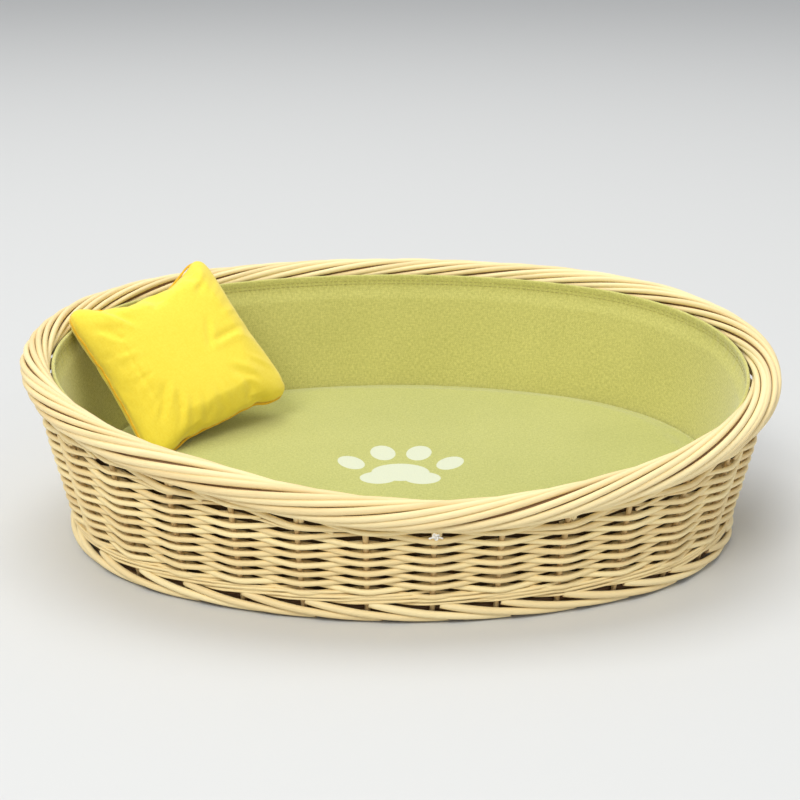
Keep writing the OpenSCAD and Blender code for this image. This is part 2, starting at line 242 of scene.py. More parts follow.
bpy.ops.mesh.primitive_plane_add(size=60, location=(0, 0, -0.0005))
floor = bpy.context.object
floor.name = "floor"
pale_grey = bpy.data.materials.new("pale floor")
pale_grey.use_nodes = True
pale_grey.node_tree.nodes["Principled BSDF"].inputs["Base Color"].default_value = (0.63, 0.64, 0.64, 1)
pale_grey.node_tree.nodes["Principled BSDF"].inputs["Roughness"].default_value = 0.7
floor.data.materials.append(pale_grey)


def lamp(name, place, size, power, colour):
    """A square area lamp that shines at the basket's middle."""
    light = bpy.data.lights.new(name, "AREA")
    light.size = size
    light.energy = power
    light.color = colour
    piece = bpy.data.objects.new(name, light)
    piece.location = place
    piece.rotation_euler = (Vector((0, 0, 0.08)) - Vector(place)).to_track_quat("-Z", "Y").to_euler()
    scene.collection.objects.link(piece)


lamp("key_lamp", (-1.9, -4.2, 5.2), 2.8, 250, (1.0, 0.985, 0.95))
lamp("fill_lamp", (4.2, -3.2, 3.0), 3.5, 25, (0.97, 0.98, 1.0))
lamp("top_lamp", (-0.6, 1.4, 5.6), 3.5, 155, (1.0, 0.99, 0.97))
world = bpy.data.worlds.new("studio")
scene.world = world
world.use_nodes = True
world.node_tree.nodes["Background"].inputs["Color"].default_value = (0.97, 0.98, 1.0, 1)
world.node_tree.nodes["Background"].inputs["Strength"].default_value = 0.55

# %% [markdown]
# ## Finishes
# Peeled willow is cream to peach, with fine streaks along each rod, a faint silky gloss and a little brown
# where the rod was bruised. The streaks follow the rod, so the pattern reads the rod's own map: across it
# and along it in metres. It is a node group, because four finishes use it with different values.

# %% Helpers for materials
def add(nodes, kind, **values):
    """A shader node with its properties set."""
    node = nodes.new(kind)
    for key, value in values.items():
        setattr(node, key, value)
    return node


def group_of(name, inputs, outputs):
    """An empty shader node group with its sockets; returns the tree, its input node and its output node."""
    tree = bpy.data.node_groups.new(name, "ShaderNodeTree")
    for label, kind, value in inputs:
        socket = tree.interface.new_socket(label, in_out="INPUT", socket_type=kind)
        if value is not None:
            socket.default_value = value
    for label, kind in outputs:
        tree.interface.new_socket(label, in_out="OUTPUT", socket_type=kind)
    return tree, tree.nodes.new("NodeGroupInput"), tree.nodes.new("NodeGroupOutput")


def maths(tree, operation, a, b=None, c=None, clamp=False):
    """A math node whose inputs are sockets or numbers; returns its result."""
    node = add(tree.nodes, "ShaderNodeMath", operation=operation, use_clamp=clamp)
    for place, value in enumerate((a, b, c)):
        if value is None:
            continue
        if isinstance(value, (int, float)):
            node.inputs[place].default_value = value
        else:
            tree.links.new(value, node.inputs[place])
    return node.outputs[0]


def mixed(tree, factor, a, b):
    """A colour between a and b by a factor."""
    node = add(tree.nodes, "ShaderNodeMix", data_type="RGBA")
    for place, value in ((0, factor), (6, a), (7, b)):
        if isinstance(value, (int, float, tuple)):
            node.inputs[place].default_value = value
        else:
            tree.links.new(value, node.inputs[place])
    return node.outputs[2]


def noise(tree, vector, scale, detail=3.0, rough=0.5):
    """A noise value over a vector."""
    node = tree.nodes.new("ShaderNodeTexNoise")
    node.inputs["Scale"].default_value = scale
    node.inputs["Detail"].default_value = detail
    node.inputs["Roughness"].default_value = rough
    tree.links.new(vector, node.inputs["Vector"])
    return node.outputs["Fac"]


def stretched(tree, vector, scale):
    """A vector with each part scaled, to draw a pattern out."""
    node = tree.nodes.new("ShaderNodeVectorMath")
    node.operation = "MULTIPLY"
    tree.links.new(vector, node.inputs[0])
    node.inputs[1].default_value = scale
    return node.outputs[0]


# %% The willow group
COLOUR, NUMBER, VECTOR = "NodeSocketColor", "NodeSocketFloat", "NodeSocketVector"
willow, willow_in, willow_out = group_of(
    "Peeled willow",
    [
        ("Light", COLOUR, (0.86, 0.68, 0.42, 1)),
        ("Deep", COLOUR, (0.62, 0.40, 0.20, 1)),
        ("Bruise", NUMBER, 0.3),
    ],
    [("Color", COLOUR), ("Roughness", NUMBER), ("Height", NUMBER)],
)
uv_node = add(willow.nodes, "ShaderNodeUVMap", uv_map="UVMap")
tone_node = add(willow.nodes, "ShaderNodeAttribute", attribute_name="rod_tone")
tone_value = tone_node.outputs["Fac"]
offset = add(willow.nodes, "ShaderNodeCombineXYZ")
willow.links.new(maths(willow, "MULTIPLY", tone_value, 61.0), offset.inputs[2])
rod_place = add(willow.nodes, "ShaderNodeVectorMath", operation="ADD")
willow.links.new(uv_node.outputs["UV"], rod_place.inputs[0])
willow.links.new(offset.outputs[0], rod_place.inputs[1])
streak = noise(willow, stretched(willow, rod_place.outputs[0], (900.0, 28.0, 1.0)), 1.0, 4.0, 0.6)
patch = noise(willow, stretched(willow, rod_place.outputs[0], (60.0, 14.0, 1.0)), 1.0, 2.0, 0.5)
streak_part = maths(willow, "MULTIPLY_ADD", streak, 0.55, -0.2, clamp=True)
tone_part = maths(willow, "MULTIPLY_ADD", tone_value, 0.55, streak_part)
patch_part = maths(willow, "MULTIPLY_ADD", patch, 0.6, -0.3)
depth = maths(willow, "ADD", maths(willow, "ADD", tone_part, patch_part), -0.1, clamp=True)
plain = mixed(willow, depth, willow_in.outputs["Light"], willow_in.outputs["Deep"])
bruise = maths(willow, "SMOOTH_MAX", maths(willow, "MULTIPLY_ADD", patch, 5.0, -3.2), 0.0, 0.2, clamp=True)
how_bruised = maths(willow, "MULTIPLY", bruise, willow_in.outputs["Bruise"], clamp=True)
bruised = mixed(willow, how_bruised, plain, (0.40, 0.22, 0.09, 1))
willow.links.new(bruised, willow_out.inputs["Color"])
willow.links.new(maths(willow, "MULTIPLY_ADD", streak, 0.25, 0.42), willow_out.inputs["Roughness"])
willow.links.new(streak, willow_out.inputs["Height"])


def finish_of(name, tree_group, values, bump=0.15, distance=0.0003, sheen=0.0, specular=0.4, place=None):
    """A material round one group: its colour, roughness and height feed a Principled BSDF. A place function
    gives the coordinates of a group that takes them."""
    material = bpy.data.materials.new(name)
    material.use_nodes = True
    tree = material.node_tree
    shader = tree.nodes["Principled BSDF"]
    block = add(tree.nodes, "ShaderNodeGroup", node_tree=tree_group)
    if place is not None:
        tree.links.new(place(tree), block.inputs["Place"])
    for label, value in values.items():
        block.inputs[label].default_value = value
    tree.links.new(block.outputs["Color"], shader.inputs["Base Color"])
    tree.links.new(block.outputs["Roughness"], shader.inputs["Roughness"])
    height = tree.nodes.new("ShaderNodeBump")
    height.inputs["Strength"].default_value = bump
    height.inputs["Distance"].default_value = distance
    tree.links.new(block.outputs["Height"], height.inputs["Height"])
    tree.links.new(height.outputs["Normal"], shader.inputs["Normal"])
    shader.inputs["Specular IOR Level"].default_value = specular
    if sheen:
        shader.inputs["Sheen Weight"].default_value = sheen
        shader.inputs["Sheen Roughness"].default_value = 0.5
    return material


def willow_finish(name, light, deep):
    """Peeled willow between two colours, by the rod's own map."""
    return finish_of(name, willow, {"Light": (*light, 1), "Deep": (*deep, 1)})


weave_willow = willow_finish("willow weavers", (0.93, 0.77, 0.41), (0.72, 0.51, 0.22))
border_willow = willow_finish("willow border", (0.92, 0.77, 0.43), (0.76, 0.56, 0.26))
stake_willow = willow_finish("willow stakes", (0.76, 0.56, 0.27), (0.54, 0.35, 0.14))
# The core finish is painted shade: a dark brown for the inside of the border roll and the ring behind the foot
# rods, where the willow lies in shade.
painted_shade_core_willow = willow_finish("willow core painted shade", (0.27, 0.15, 0.06), (0.14, 0.07, 0.03))
cut_willow = willow_finish("willow cut ends", (0.80, 0.60, 0.34), (0.60, 0.38, 0.18))
print("willow finishes made")


def dress(piece, material, body, slot, *nodes, cut=None):
    """Gives a piece its finish and its body, and hides the nodes it stands for. The slot is not used."""
    piece.data.materials.append(material)
    if cut is not None:
        piece.data.materials.append(cut)
    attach(piece, body)
    if nodes:
        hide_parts(*nodes)
    return piece


# %% [markdown]
# ## The stakes
# Thirty-two stakes rise from the foot, lean out with the wall and bend over into the border. Each one is a
# single willow shoot, so no two are quite the same thickness or quite upright. A path and a round section
# give that.

# %% Side stakes
STAKE_SHARE = np.arange(STAKES) / STAKES
STAKE_FOOT = 0.004
rise = np.linspace(0, 1, 12)
stake_top = border_z(STAKE_SHARE) - 0.010
stake_z = STAKE_FOOT + (stake_top - STAKE_FOOT)[:, None] * rise
stake_sway = rng.normal(0, 0.00035, (STAKES, 1)) * np.sin(rise * math.pi)
stake_paths = wall(STAKE_SHARE[:, None] + stake_sway, stake_z)
stake_radii = STAKE_R * (1 + rng.normal(0, 0.05, (STAKES, 1)))
side_stakes = rod_piece("side_stakes", stake_paths, stake_radii, outward(STAKE_SHARE)[:, None], 8)
dress(side_stakes, stake_willow, "basket", "willow_stake", "side_stakes", cut=cut_willow)

# %% [markdown]
# ## The wall
# The wall is plain randing: one rod at a time, in front of one stake and behind the next, with the next row
# the other way round. The low rows follow the floor and the top rows follow the border, so the taller back
# is filled with short rows that stop where the two sets meet. A row is a wave: the rod's distance from the
# wall line swings like a cosine whose crests are at the stakes.

# %% Rows of weaving
FOOT_H = foot_high[2]
UPSETT_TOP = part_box("lower_row_1")[0].z
low_rows = sorted(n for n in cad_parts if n.startswith("lower_row_"))
fill_rows = sorted(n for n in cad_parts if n.startswith("packing_row_"))
top_rows = sorted(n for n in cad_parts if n.startswith("upper_row_"))
FRONT_ROOM = BACK_H - FRONT_DIP - BORDER_R - UPSETT_TOP
ROW_PITCH = FRONT_ROOM / (len(low_rows) + len(top_rows))
FILL_Z = UPSETT_TOP + len(low_rows) * ROW_PITCH
SWING = STAKE_R + 0.92 * WEAVER_R
RINGS_PER_STAKE = 10
SHARP = 0.95
ROW_FALL = 0.36


def row_paths(share, z, side):
    """Paths of woven rows: out = side * swing * a triangle wave with rounded crests at the stakes, which is the
    arcsine of a cosine, and the height falls by a part of out, because the wall leans."""
    wave = np.arcsin(SHARP * np.cos(math.pi * STAKES * share)) / math.asin(SHARP)
    out = side * SWING * wave
    z = z - ROW_FALL * out
    rows = len(share)
    sag = sum(
        rng.normal(0, 0.00022, (rows, 1)) * np.sin(TAU * (count * share + rng.random((rows, 1))))
        for count in (5, 9, 13, 31)
    )
    return wall(share, z + sag, out + rng.normal(0, 0.0001, (rows, 1)))


def row_radii(share):
    """A rod's radius: thick at the butt and thin at the tip, two rods to a row, joined behind a stake."""
    rows = len(share)
    start = rng.integers(0, STAKES // 2, (rows, 1)) / STAKES
    along = 2 * (share + start) % 1
    butt = rng.normal(1.03, 0.05, (rows, 1))
    return WEAVER_R * (butt - 0.12 * along)


def row_side(first, count):
    """+1 and -1 by turns, from the first row's number."""
    return np.where((first + np.arange(count)) % 2 == 0, 1.0, -1.0)[:, None]


full = np.tile(np.arange(STAKES * RINGS_PER_STAKE) / (STAKES * RINGS_PER_STAKE), (len(low_rows), 1))
low_z = UPSETT_TOP + (np.arange(len(low_rows)) + 0.5)[:, None] * ROW_PITCH
low_paths = row_paths(full, low_z, row_side(0, len(low_rows)))
low_weave = rod_piece("lower_weave", low_paths, row_radii(full), outward(full), 8, closed=True)
dress(low_weave, weave_willow, "basket", "willow_weave", *low_rows)

full = np.tile(full[0], (len(top_rows), 1))
top_drop = BORDER_R + (len(top_rows) - np.arange(len(top_rows)) - 0.5)[:, None] * ROW_PITCH
top_paths = row_paths(full, border_z(full) - top_drop, row_side(len(low_rows), len(top_rows)))
top_weave = rod_piece("upper_weave", top_paths, row_radii(full), outward(full), 8, closed=True)
dress(top_weave, weave_willow, "basket", "willow_weave", *top_rows)

# %% Short rows that fill the back
FRONT_SHARE = 0.75 + DIP_TURN / TAU
probe = FRONT_SHARE + np.arange(2400) / 2400
NEED = 0.35


def fill_room(share):
    """Height left for short rows at a share, in rows: between the floor's rows and the border's rows."""
    return (border_z(share) - BORDER_R - len(top_rows) * ROW_PITCH - FILL_Z) / ROW_PITCH


room = fill_room(probe)
need = (np.arange(len(fill_rows)) + NEED)[:, None]
fits = room[None] >= need
fill_side = row_side(len(low_rows), len(fill_rows))
first = probe[np.argmax(fits, 1)]
last = probe[len(probe) - 1 - np.argmax(fits[:, ::-1], 1)]
fill_share = first[:, None] + (last - first)[:, None] * np.linspace(0, 1, STAKES * RINGS_PER_STAKE)
below = np.arange(len(fill_rows))[:, None]
next_first, next_last = np.append(first[1:], 2.0)[:, None], np.append(last[1:], -2.0)[:, None]
past_next = np.minimum(fill_share - next_first, next_last - fill_share) * STAKES
alone = 1 - np.clip(past_next / 0.8, 0, 1)
centre_up = 0.5 + alone * (np.clip(fill_room(fill_share) - below, 0.3, 1.4) / 2 - 0.5)
fill_paths = row_paths(fill_share, FILL_Z + (below + centre_up) * ROW_PITCH, fill_side)
tip = np.minimum(fill_share - first[:, None], last[:, None] - fill_share) * STAKES
fill_radii = row_radii(fill_share) * (0.45 + 0.55 * np.clip(tip / 1.2, 0, 1))
fill_weave = rod_piece("packing_weave", fill_paths, fill_radii, outward(fill_share), 8)
dress(fill_weave, weave_willow, "basket", "willow_weave", *fill_rows, cut=cut_willow)
print("rows", len(low_rows), len(fill_rows), len(top_rows), "pitch", round(ROW_PITCH, 5))

# %% [markdown]
# ## The upsett
# The upsett binds the stakes just above the foot. Thin rods work in threes: each goes in front of two
# stakes and behind one, and climbs over its neighbours as it goes, which gives the long slanting strokes.

# %% Upsett rods
UPSETT_R = 0.00135
upsett_nodes = sorted(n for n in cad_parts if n.startswith("upsett_rod_"))
upsett_share = np.tile(np.arange(960) / 960, (6, 1))
rod_number = np.arange(6)[:, None]
phase = (upsett_share * 30 - rod_number % 3) % 3
front = np.clip(np.minimum(phase / 0.45, (2.4 - phase) / 0.45), -1, 1)
upsett_out = (STAKE_R + UPSETT_R) * np.sin(front * math.pi / 2)
upsett_out = upsett_out + 0.0016 * np.clip(front, 0, 1) * (1 - phase / 2.4)
climb = np.where(phase < 2.4, phase / 2.4 - 0.5, 0.5 - (phase - 2.4) / 0.6)
UPSETT_RISE = 0.0072
upsett_z = FOOT_H + 0.0070 + 0.0035 * (rod_number // 3) + UPSETT_RISE * climb
upsett_z = upsett_z + 0.0007 * np.sin(TAU * (upsett_share * 7 + rod_number * 0.37))
upsett_paths = wall(upsett_share, upsett_z, upsett_out)
upsett_radii = UPSETT_R * (1 + 0.12 * np.sin(TAU * (2 * upsett_share + rod_number / 6)))
upsett = rod_piece("upsett", upsett_paths, upsett_radii, outward(upsett_share), 8, closed=True)
dress(upsett, weave_willow, "basket", "willow_weave", *upsett_nodes)

# %% [markdown]
# ## The foot border
# Under the wall, one thick rod starts beside each stake with a square-cut end, sweeps out and down to the
# right past two more stakes, and ends under the next ones with a slanting cut. The basket stands on these
# rods.

# %% Foot border rods
FOOT_R = 0.0033
FOOT_REACH = 2.15
sweep = np.linspace(0, 1, 40)
foot_start = (np.arange(STAKES) + 0.10 + rng.normal(0, 0.05, STAKES)) / STAKES
foot_share = foot_start[:, None] + FOOT_REACH / STAKES * sweep
foot_z = FOOT_R + 0.0003 + 0.0128 * (1 - sweep) ** 1.7 + rng.normal(0, 0.0004, (STAKES, 1)) * (1 - sweep)
foot_out = 0.0030 + 0.0042 * np.sin(math.pi * sweep**0.8) + 0.0018 * sweep
foot_radii = FOOT_R * (1 + rng.normal(0, 0.05, (STAKES, 1))) * (1 - 0.12 * sweep)
foot_rods = rod_piece(
    "foot_border_rods", wall(foot_share, foot_z, foot_out), foot_radii, outward(foot_share), 10, slant=0.0026
)
dress(foot_rods, border_willow, "basket", "willow_foot", "foot_border", cut=cut_willow)
inner_share = np.tile(np.arange(256) / 256, (2, 1))
inner_z = np.array([0.0032, 0.0090])[:, None]
inner_out = np.array([-0.0040, -0.0044])[:, None]
foot_core = rod_piece(
    "foot_core", wall(inner_share, inner_z, inner_out + 0 * inner_share), 0.0028, outward(inner_share), 8,
    closed=True,
)
# The inner foot ring is dark brown as painted shade behind the foot rods.
dress(foot_core, painted_shade_core_willow, "basket", "willow_foot")

# %% [markdown]
# ## The rolled border
# At the top, every stake bends to the right and is rolled over its neighbours into a fat rope. Each rod
# leaves its stake under the border, climbs the outside, crosses the top, goes down the inside and ends
# inside the roll. The path is a helix round the border's own centre line, with a stretch of stake before it
# and a tail that sinks in.

# %% Border rods
BORDER_RODS = 48
VISIBLE_RODS = 10.6
TURNS = BORDER_RODS / VISIBLE_RODS
ROD_R = 0.00295
ROLL_R = BORDER_R - ROD_R


def roll_point(share, angle, radius):
    """Point of the roll's section: the border's centre plus radius times the angle's cosine and sine."""
    z = border_z(share)
    x, y = oval(share, z * LEAN + radius * np.cos(angle))
    return np.stack([x, y, z + radius * np.sin(angle)], -1)


number = np.arange(BORDER_RODS)
helix_share = (number + rng.normal(0, 0.10, BORDER_RODS)) / BORDER_RODS
stake_of = 2 * (number // 3) + (number % 3 == 2)
stem_share = stake_of / STAKES + np.where(number % 3 == 1, 0.0022, 0.0)
UNDER = -math.pi / 2
turn = np.linspace(0, 1.18, 92)
helix_angle = UNDER + TAU * turn + rng.normal(0, 0.05, (BORDER_RODS, 1))
sink = np.clip((turn - 0.93) / 0.25, 0, 1)
helix_radius = ROLL_R * (1 - 0.45 * sink**1.5) + rng.normal(0, 0.00035, (BORDER_RODS, 1))
helix = roll_point(helix_share[:, None] + turn / TURNS, helix_angle, helix_radius)
stem_rise = np.linspace(0.018, 0.0135, 4)
stem = wall(stem_share[:, None], border_z(stem_share)[:, None] - stem_rise)
run = np.linspace(0, 1, 8)[:-1]
run_share = stem_share[:, None] + (helix_share - stem_share)[:, None] * run
bottom = roll_point(run_share, UNDER + 0 * run_share, ROLL_R + 0.0006)
border_paths = np.concatenate([stem, bottom, helix], 1)
for _ in range(3):
    border_paths[:, 1:-1] = (border_paths[:, :-2] + 2 * border_paths[:, 1:-1] + border_paths[:, 2:]) / 4
travel = np.linspace(0, 1, border_paths.shape[1])
border_taper = 1 - 0.12 * travel - 0.16 * (travel < 0.05)
border_radii = ROD_R * (1 + rng.normal(0, 0.06, (BORDER_RODS, 1))) * border_taper
border_centre = roll_point(np.concatenate([stem_share[:, None] + 0 * stem_rise, run_share,
                                           helix_share[:, None] + turn / TURNS], 1), 0.0, 0.0)
border_rods = rod_piece("border_rods", border_paths, border_radii, border_paths - border_centre + 1e-6, 10)
dress(border_rods, border_willow, "basket", "willow_border", "rolled_border", cut=cut_willow)
core_share = np.arange(240)[None] / 240
CORE_R = 0.0086
core = rod_piece(
    "border_core", roll_point(core_share, 0.0, 0.0), CORE_R, outward(core_share), 14, closed=True
)
# The border core is dark brown as painted shade inside the roll.
dress(core, painted_shade_core_willow, "basket", "willow_border")
print("border rods", BORDER_RODS, "turns", round(TURNS, 2))

# %% [markdown]
# ## The base
# The floor of the basket is woven too: sticks across and along, with rounds of rod laid over them. It shows
# from underneath and when the cushion is out, so the rounds are plain rods that rise and fall round the
# oval.

# %% Base weaving
BASE_R = 0.0023
ROUNDS = 40
weave_low, weave_high = (np.array(corner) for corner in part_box("base_weave"))
base_share = np.tile(np.arange(192) / 192, (ROUNDS, 1))
round_number = np.arange(ROUNDS)[:, None]
base_out = -0.0085 - 0.00465 * round_number
base_x, base_y = oval(base_share, base_out)
base_wave = 0.0011 * np.cos(math.pi * (STAKES * base_share + round_number))
base_paths = np.stack([base_x, base_y, (weave_low[2] + weave_high[2]) / 2 - 0.0008 + base_wave], -1)
base_weave = rod_piece("base_weaving", base_paths, BASE_R, outward(base_share), 6, closed=True)
dress(base_weave, weave_willow, "basket", "willow_weave", "base_weave")

# %% Base middle
# The rounds stop where the ends have no room left to turn, and straight rods fill the long gap that is
# left.
MIDDLE_RODS = 15
MIDDLE_WAVE = 0.030
past = -base_out.min() + BASE_R
side_left, end_left = SIDE_R - past, END_R - past
middle_y = (side_left - SIDE_Y - BASE_R) * np.linspace(-1, 1, MIDDLE_RODS)
to_side = np.sqrt(side_left**2 - (np.abs(middle_y) + SIDE_Y) ** 2)
to_end = END_X + np.sqrt(np.maximum(end_left**2 - middle_y**2, 0))
middle_half = np.where(to_side > END_X, np.minimum(to_side, to_end), to_side)
middle_x = middle_half[:, None] * np.linspace(-1, 1, 60)
middle_wave = 0.0011 * np.cos(math.pi * (middle_x / MIDDLE_WAVE + np.arange(MIDDLE_RODS)[:, None]))
middle_z = (weave_low[2] + weave_high[2]) / 2 - 0.0008 + middle_wave
middle_paths = np.stack(
    np.broadcast_arrays(MIDDLE[0] + middle_x, MIDDLE[1] + middle_y[:, None], middle_z), -1
)
middle_tones = np.arange(MIDDLE_RODS) * 0.618 % 1
middle_rods = rod_piece(
    "base_middle_rods", middle_paths, BASE_R, np.array([0, 0, 1.0]), 8, tones=middle_tones
)
dress(middle_rods, weave_willow, "basket", "willow_weave", cut=cut_willow)
print("base rounds", ROUNDS, "middle rods", MIDDLE_RODS, "half gap", round(float(middle_y.max()), 4))

# %% Base sticks
CROSS_STICKS, LONG_STICKS = 9, 3
STICK_R, LONG_STICK_R = 0.004, 0.0025
STICK_Z = FOOT_H - STICK_R
cross_low, cross_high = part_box("base_cross_sticks")
long_low, long_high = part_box("base_long_sticks")
cross_x = np.linspace(cross_low.x + STICK_R, cross_high.x - STICK_R, CROSS_STICKS)
END_GAP = 0.014
from_middle = np.abs(cross_x - MIDDLE[0])
on_side = np.sqrt(SIDE_R**2 - from_middle**2) - SIDE_Y
on_end = np.sqrt(np.maximum(END_R**2 - (from_middle - END_X) ** 2, 0))
cross_half = np.where(from_middle < END_X, on_side, on_end) - END_GAP
stick_run = np.linspace(-1, 1, 20)
cross_y = MIDDLE[1] + cross_half[:, None] * stick_run
cross_paths = np.stack(np.broadcast_arrays(cross_x[:, None], cross_y, STICK_Z), -1)
cross_radii = STICK_R * (0.99 - 0.05 * stick_run * np.where(np.arange(CROSS_STICKS) % 2, 1, -1)[:, None])
cross = rod_piece("base_cross_rods", cross_paths, cross_radii * 0.97, np.array([0, 0, 1.0]), 12)
dress(cross, stake_willow, "basket", "willow_stake", "base_cross_sticks", cut=cut_willow)
long_y = np.linspace(long_low.y + LONG_STICK_R, long_high.y - LONG_STICK_R, LONG_STICKS)[:, None]
long_x = np.linspace(long_low.x, long_high.x, 40)
long_paths = np.stack(np.broadcast_arrays(long_x, long_y, STICK_Z), -1)
long_rods = rod_piece("base_long_rods", long_paths, LONG_STICK_R, np.array([0, 0, 1.0]), 10)
dress(long_rods, stake_willow, "basket", "willow_stake", "base_long_sticks", cut=cut_willow)
print("base sticks", CROSS_STICKS, LONG_STICKS)

# %% [markdown]
# ## Cloth
# The liner and the cushion are a soft brushed cloth, and the pillow is plain cotton. Close up, both are a
# plain weave: threads cross over and under, and flecks of lighter and darker thread break up the colour.
# The group takes a place in metres, so the liner can give its own map and the pads can give their
# coordinates.

# %% The cloth group
cloth, cloth_in, cloth_out = group_of(
    "Woven cloth",
    [
        ("Place", VECTOR, None),
        ("Light", COLOUR, (0.6, 0.6, 0.2, 1)),
        ("Deep", COLOUR, (0.4, 0.4, 0.1, 1)),
        ("Thread", NUMBER, 0.0011),
        ("Fleck", NUMBER, 0.6),
    ],
    [("Color", COLOUR), ("Roughness", NUMBER), ("Height", NUMBER)],
)
cloth_place = cloth_in.outputs["Place"]
parts = add(cloth.nodes, "ShaderNodeSeparateXYZ")
cloth.links.new(cloth_place, parts.inputs[0])
pace = maths(cloth, "DIVIDE", TAU / 2, cloth_in.outputs["Thread"])
warp = maths(cloth, "SINE", maths(cloth, "MULTIPLY", parts.outputs["X"], pace))
weft = maths(cloth, "SINE", maths(cloth, "MULTIPLY", parts.outputs["Y"], pace))
crossing = maths(cloth, "MULTIPLY_ADD", maths(cloth, "MULTIPLY", warp, weft), 0.5, 0.5)
slub = noise(cloth, stretched(cloth, cloth_place, (260.0, 700.0, 500.0)), 1.0, 3.0, 0.7)
slub_across = noise(cloth, stretched(cloth, cloth_place, (700.0, 260.0, 500.0)), 1.0, 3.0, 0.7)
fleck = maths(cloth, "ADD", maths(cloth, "MULTIPLY", slub, 0.5), maths(cloth, "MULTIPLY", slub_across, 0.5))
fleck = maths(cloth, "MULTIPLY_ADD", maths(cloth, "ADD", fleck, -0.5), 5.0, 0.5, clamp=True)
worn = maths(cloth, "MULTIPLY_ADD", noise(cloth, cloth_place, 9.0, 3.0, 0.5), 0.6, -0.3)
shade = maths(cloth, "MULTIPLY", maths(cloth, "ADD", fleck, -0.5), cloth_in.outputs["Fleck"])
shade = maths(cloth, "ADD", maths(cloth, "ADD", shade, 0.45), worn)
shade = maths(cloth, "SUBTRACT", shade, maths(cloth, "MULTIPLY", crossing, 0.12), clamp=True)
dyed = mixed(cloth, shade, cloth_in.outputs["Light"], cloth_in.outputs["Deep"])
cloth.links.new(dyed, cloth_out.inputs["Color"])
cloth.links.new(maths(cloth, "MULTIPLY_ADD", fleck, 0.12, 0.82), cloth_out.inputs["Roughness"])
raised = maths(cloth, "MULTIPLY_ADD", crossing, 0.6, maths(cloth, "MULTIPLY", fleck, 0.5))
cloth.links.new(raised, cloth_out.inputs["Height"])


def map_place(tree):
    """The piece's own map, in metres."""
    return add(tree.nodes, "ShaderNodeUVMap", uv_map="UVMap").outputs["UV"]


def own_place(tree):
    """The piece's own coordinates, in metres."""
    return tree.nodes.new("ShaderNodeTexCoord").outputs["Object"]


OLIVE = {"Light": (0.66, 0.63, 0.205, 1), "Deep": (0.43, 0.42, 0.105, 1), "Thread": 0.0011, "Fleck": 0.7}
liner_cloth = finish_of("liner cloth", cloth, OLIVE, 0.5, 0.0004, 0.35, 0.15, map_place)
# The liner's back face is dark brown: painted shade, which makes the gaps in the weave read dark.
PAINTED_SHADE_BACKING = {"Light": (0.16, 0.10, 0.05, 1), "Deep": (0.08, 0.05, 0.02, 1), "Thread": 0.0014, "Fleck": 0.5}
painted_shade_backing_cloth = finish_of("liner back painted shade", cloth, PAINTED_SHADE_BACKING, 0.5, 0.0004, 0.1, 0.1, map_place)
print("cloth finishes made")

# %% [markdown]
# ## The liner
# The liner is a strip of padded cloth that stands against the weave all the way round. It is hemmed at the
# top, with a double line of stitches a finger's width under the edge, and it is caught to the border by a
# few ties. Its section is drawn once, from the bottom up the inside, over the thin hem and down the back,
# and carried round the oval, with shallow puckers where the stitches draw the cloth in.

# %% Liner
LINER_T = 0.009
LINER_RISE = 0.002
HEM = 0.010
WEAVE_GAP = 0.0008
CAD_WEAVER_R = 0.00215
LINER_GAP = 0.001
CAD_SWING = STAKE_R + CAD_WEAVER_R + WEAVE_GAP
LINER_MID = -CAD_SWING - CAD_WEAVER_R - LINER_GAP - LINER_T / 2
LINER_TOP = -BORDER_R - 0.001
LINER_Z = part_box("liner_wall")[0].z
PLACES = 640
liner_share = (np.arange(PLACES) / PLACES)[:, None]
liner_edge = border_z(liner_share) + LINER_RISE - 0.0022
rise = np.concatenate([np.linspace(0, 0.7, 16)[:-1], np.linspace(0.7, 1, 25)])[None]
liner_height = LINER_Z + (liner_edge - 0.0015 - LINER_Z) * rise
under_edge = liner_edge - liner_height


def eased(value):
    """A smooth step from 0 to 1: 3 times the square less 2 times the cube, held at the ends."""
    value = np.clip(value, 0, 1)
    return value * value * (3 - 2 * value)


past_border = eased(1 - (under_edge - 0.008) / 0.022)
back_out = LINER_MID + LINER_T / 2 - past_border * (LINER_MID + LINER_T / 2 - LINER_TOP)
back_lean = liner_height * LEAN + past_border * (border_z(liner_share) - liner_height) * LEAN
thick = LINER_T - (LINER_T - 0.0034) * eased(1 - (under_edge - HEM) / 0.016)
stitch_dip = sum(np.exp(-(((under_edge - HEM + up) / 0.0012) ** 2)) for up in (0.0, 0.0035))
pucker = sum(
    np.sin(TAU * (count * liner_share + rng.random()) + 2.5 * np.sin(TAU * count / 9 * liner_share))
    for count in (127, 171, 223)
)
near_hem = np.exp(-(((under_edge - HEM) / 0.009) ** 2))
billow = sum(np.sin(TAU * (count * liner_share + rng.random()) + 2 * rise) for count in (5, 8, 13))
swell = 0.0005 * billow * np.sin(math.pi * rise) + 0.00022 * pucker * near_hem - 0.0007 * stitch_dip
front_out = back_out + back_lean - thick - swell
back_out = back_out + back_lean
hem_mid = (front_out[:, -1:] + back_out[:, -1:]) / 2
hem_half = (back_out[:, -1:] - front_out[:, -1:]) / 2
hem_turn = np.linspace(0, math.pi, 7)[None, 1:-1]
section_out = np.concatenate([front_out, hem_mid - hem_half * np.cos(hem_turn), back_out[:, ::-1]], 1)
hem_z = liner_edge - 0.0015 + 0.0015 * np.sin(hem_turn)
section_z = np.concatenate([liner_height, hem_z, liner_height[:, ::-1]], 1)
lx, ly = oval(np.broadcast_to(liner_share, section_out.shape), section_out)
liner_points = np.stack([lx, ly, section_z], -1)


def swept_quads(count, sides):
    """Faces of a closed section carried round a closed loop, facing out of a section drawn up its inside."""
    index = np.arange(count * sides).reshape(count, sides)
    ahead = np.roll(index, -1, 0)
    return np.stack([index, ahead, np.roll(ahead, -1, 1), np.roll(index, -1, 1)], -1)


